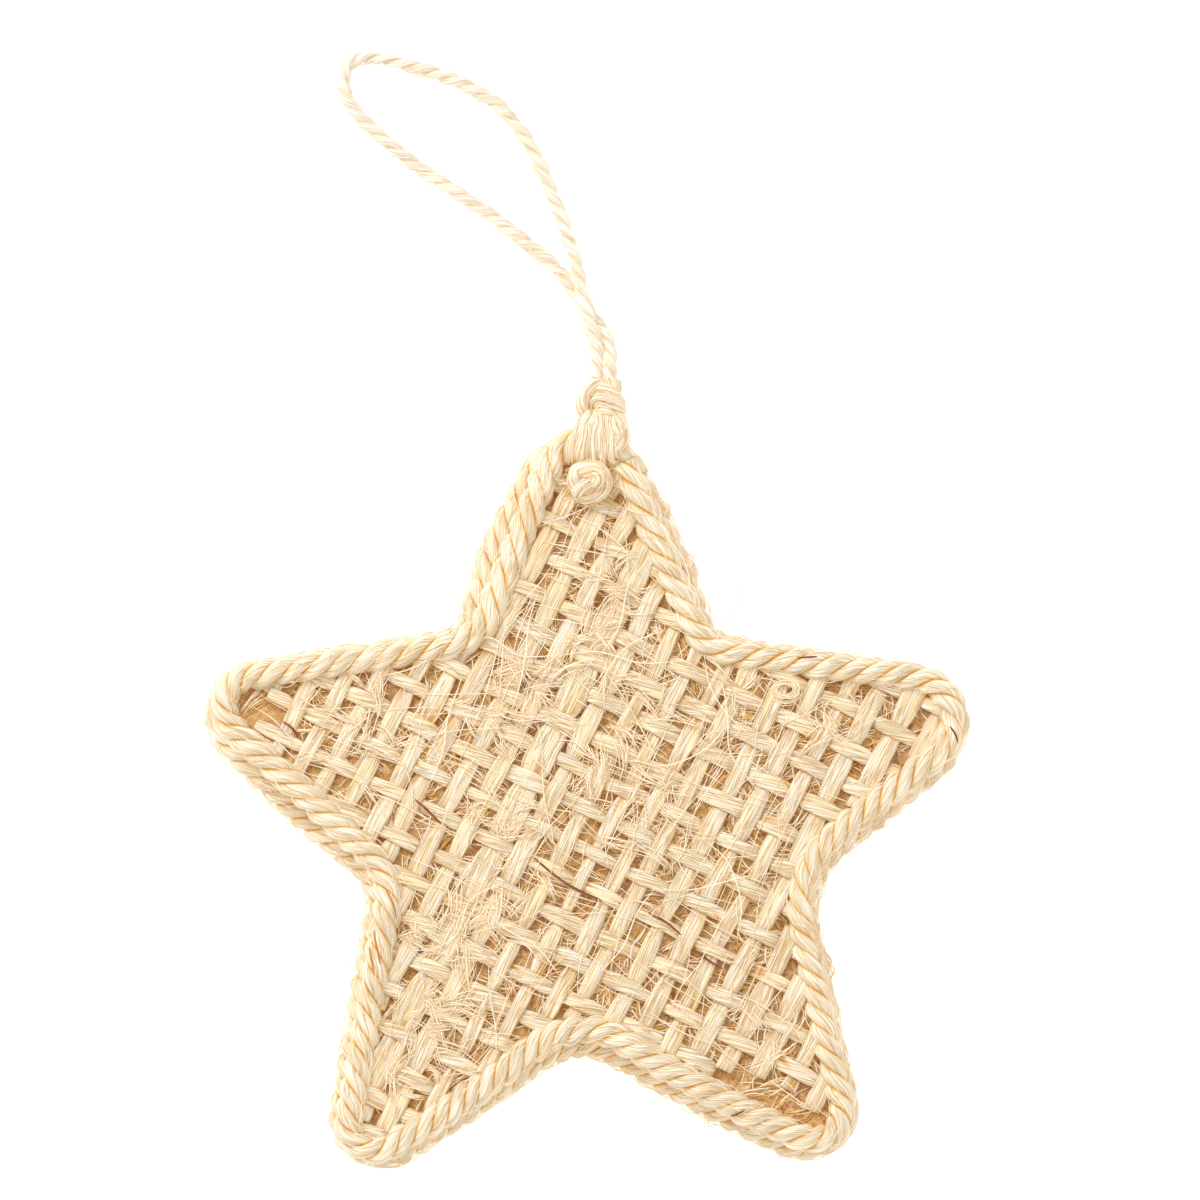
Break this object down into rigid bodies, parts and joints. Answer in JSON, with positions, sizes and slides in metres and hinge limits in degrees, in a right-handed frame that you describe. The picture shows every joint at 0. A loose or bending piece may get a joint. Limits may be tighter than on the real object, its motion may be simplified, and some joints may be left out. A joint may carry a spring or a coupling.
{
  "type": "fibre star ornament",
  "caption": "Flat star ornament of open woven plant fibre on card, rimmed with twisted fibre rope, with a tied twine loop for hanging.",
  "frame": {"origin": "centre of the star's bounding box, at the surface that the back rope lies on", "axes": "+X across the side arms, +Y towards the top arm that carries the hanging loop, +Z out of the woven face"},
  "size_m": [0.1192, 0.1794, 0.0122],
  "materials": {
    "card": "matt tan card with loose fibre glued to it",
    "woven_fibre": "flat untwisted sisal strips in an open plain weave, silky along the fibre",
    "rim_rope": "three strand sisal rope, pale straw, silky along the fibre",
    "twine": "two ply sisal twine, pale straw"
  },
  "bodies": {
    "root": {"card_core": "card", "cloth_front": "woven_fibre", "cloth_back": "woven_fibre", "rope_front": "rim_rope", "rope_back": "rim_rope", "hanger_loop": "twine", "hanger_tie": "twine"}
  },
  "joints": []
}
